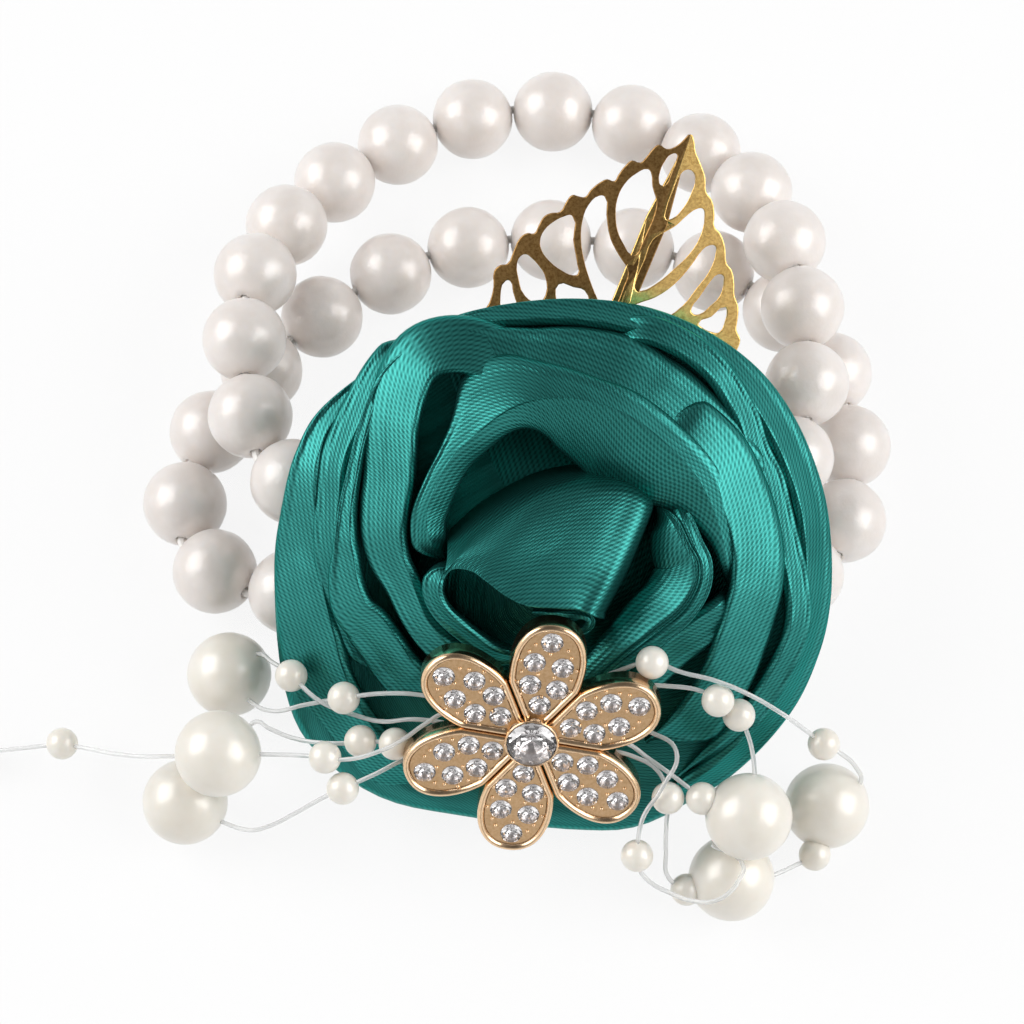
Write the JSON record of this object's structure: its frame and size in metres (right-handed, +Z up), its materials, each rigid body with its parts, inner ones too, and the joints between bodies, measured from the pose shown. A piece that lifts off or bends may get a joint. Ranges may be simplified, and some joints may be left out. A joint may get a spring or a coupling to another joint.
{
  "type": "wrist corsage",
  "caption": "Wrist corsage: a folded satin ribbon rose with a stamped leaf, a stone-set flower charm and pearl sprays on elastic pearl bracelets.",
  "frame": {"origin": "middle of the underside of the corsage without its free pearl sprays, on the table that it lies on", "axes": "+Z up from the table, +Y from the flower back over the bracelet rows, +X to the right as seen from the front"},
  "size_m": [0.0903, 0.0912, 0.0355],
  "materials": {
    "satin": "emerald satin ribbon with a fine diagonal rib",
    "felt": "dark green felt",
    "gold": "stamped, gold plated, darker on one half",
    "rose_gold": "cast, champagne gold plated and polished",
    "crystal": "clear cut stone",
    "pearl": "pearl coating, pinkish white",
    "spray_pearl": "ivory pearl coating on clear nylon",
    "elastic": "clear stretch cord"
  },
  "bodies": {
    "flower": {"satin_rose": "satin", "felt_pad": "felt", "gold_leaf": "gold", "flower_charm": "rose_gold", "charm_stone": "crystal", "upper_glued_pearls": "pearl", "lower_glued_pearls": "pearl", "left_near_spray": "spray_pearl", "left_long_spray": "spray_pearl", "left_low_spray": "spray_pearl", "right_long_spray": "spray_pearl", "right_near_spray": "spray_pearl", "right_low_spray": "spray_pearl"},
    "lower_row": {"lower_elastic": "elastic"},
    "upper_row": {"upper_elastic": "elastic"},
    "lower_pearl_01": {"lower_pearl_01": "pearl"},
    "lower_pearl_02": {"lower_pearl_02": "pearl"},
    "lower_pearl_03": {"lower_pearl_03": "pearl"},
    "lower_pearl_04": {"lower_pearl_04": "pearl"},
    "lower_pearl_05": {"lower_pearl_05": "pearl"},
    "lower_pearl_06": {"lower_pearl_06": "pearl"},
    "lower_pearl_07": {"lower_pearl_07": "pearl"},
    "lower_pearl_08": {"lower_pearl_08": "pearl"},
    "lower_pearl_09": {"lower_pearl_09": "pearl"},
    "lower_pearl_10": {"lower_pearl_10": "pearl"},
    "lower_pearl_11": {"lower_pearl_11": "pearl"},
    "lower_pearl_12": {"lower_pearl_12": "pearl"},
    "lower_pearl_13": {"lower_pearl_13": "pearl"},
    "lower_pearl_14": {"lower_pearl_14": "pearl"},
    "lower_pearl_15": {"lower_pearl_15": "pearl"},
    "lower_pearl_16": {"lower_pearl_16": "pearl"},
    "lower_pearl_17": {"lower_pearl_17": "pearl"},
    "lower_pearl_18": {"lower_pearl_18": "pearl"},
    "upper_pearl_01": {"upper_pearl_01": "pearl"},
    "upper_pearl_02": {"upper_pearl_02": "pearl"},
    "upper_pearl_03": {"upper_pearl_03": "pearl"},
    "upper_pearl_04": {"upper_pearl_04": "pearl"},
    "upper_pearl_05": {"upper_pearl_05": "pearl"},
    "upper_pearl_06": {"upper_pearl_06": "pearl"},
    "upper_pearl_07": {"upper_pearl_07": "pearl"},
    "upper_pearl_08": {"upper_pearl_08": "pearl"},
    "upper_pearl_09": {"upper_pearl_09": "pearl"},
    "upper_pearl_10": {"upper_pearl_10": "pearl"},
    "upper_pearl_11": {"upper_pearl_11": "pearl"},
    "upper_pearl_12": {"upper_pearl_12": "pearl"},
    "upper_pearl_13": {"upper_pearl_13": "pearl"},
    "upper_pearl_14": {"upper_pearl_14": "pearl"},
    "upper_pearl_15": {"upper_pearl_15": "pearl"},
    "upper_pearl_16": {"upper_pearl_16": "pearl"},
    "upper_pearl_17": {"upper_pearl_17": "pearl"},
    "upper_pearl_18": {"upper_pearl_18": "pearl"}
  },
  "joints": [
    {"name": "bracelet_lower_swing", "type": "hinge", "parent": "flower", "child": "lower_row", "pos_m": [0.00303, -0.01634, 0.00779], "axis": [1, 0, 0], "range_deg": [-40, 0]},
    {"name": "bracelet_upper_swing", "type": "hinge", "parent": "flower", "child": "upper_row", "pos_m": [0.00303, -0.00947, 0.01243], "axis": [1, 0, 0], "range_deg": [0, 25]},
    {"name": "lower_pearl_01_spin", "type": "hinge", "parent": "lower_row", "child": "lower_pearl_01", "pos_m": [0.01938, -0.01633, 0.00777], "axis": [1, 0.002, -0.003], "continuous": true},
    {"name": "lower_pearl_02_spin", "type": "hinge", "parent": "lower_row", "child": "lower_pearl_02", "pos_m": [0.02716, -0.0141, 0.00623], "axis": [0.7832, 0.5253, -0.3328], "continuous": true},
    {"name": "lower_pearl_03_spin", "type": "hinge", "parent": "lower_row", "child": "lower_pearl_03", "pos_m": [0.03166, -0.00747, 0.00447], "axis": [0.2337, 0.9688, -0.0823], "continuous": true},
    {"name": "lower_pearl_04_spin", "type": "hinge", "parent": "lower_row", "child": "lower_pearl_04", "pos_m": [0.03247, 0.0008, 0.00408], "axis": [-0.0401, 0.9991, -0.0108], "continuous": true},
    {"name": "lower_pearl_05_spin", "type": "hinge", "parent": "lower_row", "child": "lower_pearl_05", "pos_m": [0.03092, 0.00897, 0.00403], "axis": [-0.3302, 0.9439, 0.0006], "continuous": true},
    {"name": "lower_pearl_06_spin", "type": "hinge", "parent": "lower_row", "child": "lower_pearl_06", "pos_m": [0.02648, 0.01589, 0.00404], "axis": [-0.7201, 0.6939, 0], "continuous": true},
    {"name": "lower_pearl_07_spin", "type": "hinge", "parent": "lower_row", "child": "lower_pearl_07", "pos_m": [0.01961, 0.02051, 0.00404], "axis": [-0.9133, 0.4073, 0], "continuous": true},
    {"name": "lower_pearl_08_spin", "type": "hinge", "parent": "lower_row", "child": "lower_pearl_08", "pos_m": [0.01166, 0.02311, 0.00404], "axis": [-0.977, 0.2132, 0], "continuous": true},
    {"name": "lower_pearl_09_spin", "type": "hinge", "parent": "lower_row", "child": "lower_pearl_09", "pos_m": [0.00336, 0.02408, 0.00404], "axis": [-0.9998, 0.0184, 0], "continuous": true},
    {"name": "lower_pearl_10_spin", "type": "hinge", "parent": "lower_row", "child": "lower_pearl_10", "pos_m": [-0.00494, 0.02322, 0.00404], "axis": [-0.9746, -0.224, 0], "continuous": true},
    {"name": "lower_pearl_11_spin", "type": "hinge", "parent": "lower_row", "child": "lower_pearl_11", "pos_m": [-0.01268, 0.0202, 0.00404], "axis": [-0.8687, -0.4953, 0], "continuous": true},
    {"name": "lower_pearl_12_spin", "type": "hinge", "parent": "lower_row", "child": "lower_pearl_12", "pos_m": [-0.01944, 0.01529, 0.00404], "axis": [-0.7416, -0.6709, 0], "continuous": true},
    {"name": "lower_pearl_13_spin", "type": "hinge", "parent": "lower_row", "child": "lower_pearl_13", "pos_m": [-0.02529, 0.00929, 0.00403], "axis": [-0.6513, -0.7588, -0.0005], "continuous": true},
    {"name": "lower_pearl_14_spin", "type": "hinge", "parent": "lower_row", "child": "lower_pearl_14", "pos_m": [-0.03004, 0.00242, 0.00404], "axis": [-0.4786, -0.878, 0.0022], "continuous": true},
    {"name": "lower_pearl_15_spin", "type": "hinge", "parent": "lower_row", "child": "lower_pearl_15", "pos_m": [-0.03231, -0.00551, 0.00417], "axis": [-0.0499, -0.9983, 0.0299], "continuous": true},
    {"name": "lower_pearl_16_spin", "type": "hinge", "parent": "lower_row", "child": "lower_pearl_16", "pos_m": [-0.0291, -0.01306, 0.00485], "axis": [0.7671, -0.6299, 0.1218], "continuous": true},
    {"name": "lower_pearl_17_spin", "type": "hinge", "parent": "lower_row", "child": "lower_pearl_17", "pos_m": [-0.02165, -0.01605, 0.00656], "axis": [0.9573, -0.0713, 0.2803], "continuous": true},
    {"name": "lower_pearl_18_spin", "type": "hinge", "parent": "lower_row", "child": "lower_pearl_18", "pos_m": [-0.01343, -0.01634, 0.00777], "axis": [1, -0.0003, 0.0041], "continuous": true},
    {"name": "upper_pearl_01_spin", "type": "hinge", "parent": "upper_row", "child": "upper_pearl_01", "pos_m": [0.01938, -0.00944, 0.01243], "axis": [1, 0.0064, 0], "continuous": true},
    {"name": "upper_pearl_02_spin", "type": "hinge", "parent": "upper_row", "child": "upper_pearl_02", "pos_m": [0.02609, -0.0047, 0.01244], "axis": [0.3741, 0.9274, 0.0001], "continuous": true},
    {"name": "upper_pearl_03_spin", "type": "hinge", "parent": "upper_row", "child": "upper_pearl_03", "pos_m": [0.02784, 0.00335, 0.01244], "axis": [0.049, 0.9988, 0], "continuous": true},
    {"name": "upper_pearl_04_spin", "type": "hinge", "parent": "upper_row", "child": "upper_pearl_04", "pos_m": [0.02768, 0.01168, 0.0124], "axis": [-0.0864, 0.9962, -0.0092], "continuous": true},
    {"name": "upper_pearl_05_spin", "type": "hinge", "parent": "upper_row", "child": "upper_pearl_05", "pos_m": [0.02625, 0.01972, 0.01128], "axis": [-0.2559, 0.9296, -0.2651], "continuous": true},
    {"name": "upper_pearl_06_spin", "type": "hinge", "parent": "upper_row", "child": "upper_pearl_06", "pos_m": [0.02336, 0.02698, 0.00852], "axis": [-0.4388, 0.81, -0.389], "continuous": true},
    {"name": "upper_pearl_07_spin", "type": "hinge", "parent": "upper_row", "child": "upper_pearl_07", "pos_m": [0.01853, 0.03308, 0.00587], "axis": [-0.7192, 0.6505, -0.2442], "continuous": true},
    {"name": "upper_pearl_08_spin", "type": "hinge", "parent": "upper_row", "child": "upper_pearl_08", "pos_m": [0.01166, 0.03735, 0.00447], "axis": [-0.9239, 0.3717, -0.0904], "continuous": true},
    {"name": "upper_pearl_09_spin", "type": "hinge", "parent": "upper_row", "child": "upper_pearl_09", "pos_m": [0.00364, 0.03916, 0.00406], "axis": [-0.998, 0.0618, -0.0097], "continuous": true},
    {"name": "upper_pearl_10_spin", "type": "hinge", "parent": "upper_row", "child": "upper_pearl_10", "pos_m": [-0.00456, 0.03832, 0.004], "axis": [-0.9648, -0.2629, -0.006], "continuous": true},
    {"name": "upper_pearl_11_spin", "type": "hinge", "parent": "upper_row", "child": "upper_pearl_11", "pos_m": [-0.01215, 0.03506, 0.0043], "axis": [-0.8514, -0.5185, 0.0795], "continuous": true},
    {"name": "upper_pearl_12_spin", "type": "hinge", "parent": "upper_row", "child": "upper_pearl_12", "pos_m": [-0.01842, 0.02986, 0.00558], "axis": [-0.6493, -0.7255, 0.2281], "continuous": true},
    {"name": "upper_pearl_13_spin", "type": "hinge", "parent": "upper_row", "child": "upper_pearl_13", "pos_m": [-0.02297, 0.02342, 0.00809], "axis": [-0.4418, -0.8164, 0.372], "continuous": true},
    {"name": "upper_pearl_14_spin", "type": "hinge", "parent": "upper_row", "child": "upper_pearl_14", "pos_m": [-0.0257, 0.01618, 0.01105], "axis": [-0.2121, -0.9174, 0.3368], "continuous": true},
    {"name": "upper_pearl_15_spin", "type": "hinge", "parent": "upper_row", "child": "upper_pearl_15", "pos_m": [-0.02644, 0.00813, 0.01245], "axis": [0.037, -0.9993, -0.0035], "continuous": true},
    {"name": "upper_pearl_16_spin", "type": "hinge", "parent": "upper_row", "child": "upper_pearl_16", "pos_m": [-0.02563, -0.00017, 0.01244], "axis": [0.1586, -0.9873, 0], "continuous": true},
    {"name": "upper_pearl_17_spin", "type": "hinge", "parent": "upper_row", "child": "upper_pearl_17", "pos_m": [-0.02138, -0.00721, 0.01244], "axis": [0.8368, -0.5476, -0.0002], "continuous": true},
    {"name": "upper_pearl_18_spin", "type": "hinge", "parent": "upper_row", "child": "upper_pearl_18", "pos_m": [-0.01349, -0.00946, 0.01243], "axis": [1, -0.0025, 0], "continuous": true}
  ]
}
